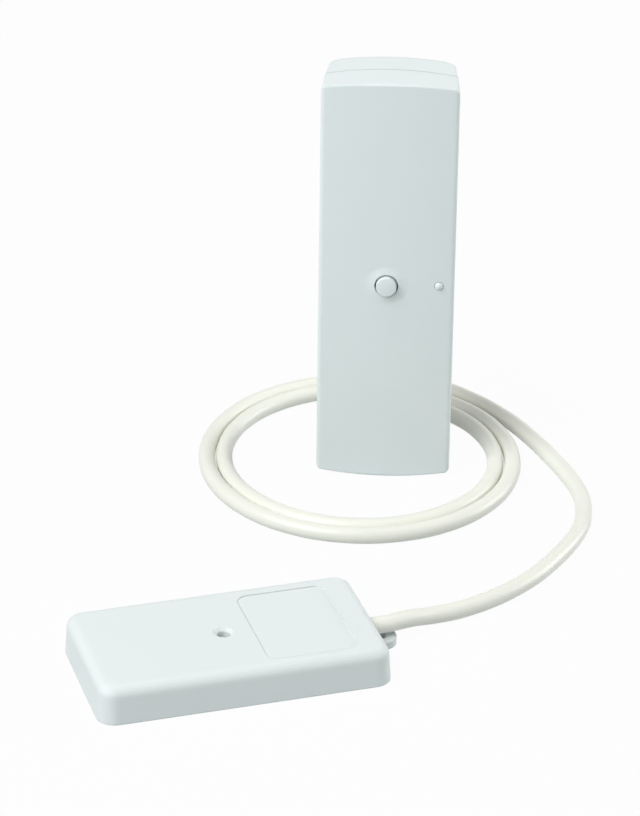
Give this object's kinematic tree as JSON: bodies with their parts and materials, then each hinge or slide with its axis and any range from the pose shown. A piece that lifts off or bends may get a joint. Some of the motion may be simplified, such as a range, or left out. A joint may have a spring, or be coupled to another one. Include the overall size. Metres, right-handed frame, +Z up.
{
  "type": "water leak sensor",
  "caption": "Wireless water leak sensor: an upright white plastic transmitter with test button and lamp, wired by a coiled round cable to a flat floor probe with contacts underneath.",
  "frame": {"origin": "on the floor, at the middle of the box round the two housings (the cable left out)", "axes": "+Z up, +Y from the probe to the transmitter and towards the wall face, +X to the right seen from the front"},
  "size_m": [0.1281, 0.174, 0.109],
  "materials": {
    "white_abs": "satin moulded ABS",
    "lens": "milky polycarbonate",
    "board": "glass-epoxy laminate with solder resist",
    "dark_plastic": "moulded nylon or epoxy",
    "lamp": "clear resin",
    "steel": "nickel plated",
    "brass": "tinned brass",
    "cell": "plain sleeve over a metal can",
    "terminal_plastic": "moulded nylon",
    "pale_rubber": "soft PVC",
    "dark_rubber": "silicone",
    "cable_pvc": "smooth PVC sheath"
  },
  "bodies": {
    "housing": {"rear_base": "white_abs", "front_cover": "white_abs", "light_pipe": "lens", "circuit_board": "board", "button_switch": "dark_plastic", "status_led": "lamp", "controller_chip": "dark_plastic", "crystal": "steel", "antenna": "brass", "battery": "cell", "battery_contact_positive": "steel", "battery_contact_negative": "steel", "terminal_block": "terminal_plastic", "terminal_screws": "steel", "board_screws": "steel", "cable_grommet": "pale_rubber", "transmitter_leads": "cable_pvc", "cable_lead": "cable_pvc", "cable_coil": "cable_pvc", "cable_tail": "cable_pvc", "probe_cover": "white_abs", "probe_base": "white_abs", "probe_gasket": "dark_rubber", "sensor_contacts": "steel", "contact_tags": "brass", "contact_nuts": "steel", "probe_leads": "cable_pvc", "strain_relief_ring": "dark_plastic", "probe_screws": "steel"},
    "button": {"test_button": "white_abs"},
    "plunger": {"switch_plunger": "dark_plastic"}
  },
  "joints": [
    {"name": "button_press", "type": "slide", "parent": "housing", "child": "button", "axis": [0.0349, 0.9994, 0], "range_m": [0, 0.0005], "stiffness_N_per_m": 2000},
    {"name": "plunger_press", "type": "slide", "parent": "housing", "child": "plunger", "axis": [0.0349, 0.9994, 0], "range_m": [0, 0.0005]}
  ],
  "couplings": [
    {"joint": "plunger_press", "follows": "button_press", "ratio": 1}
  ]
}
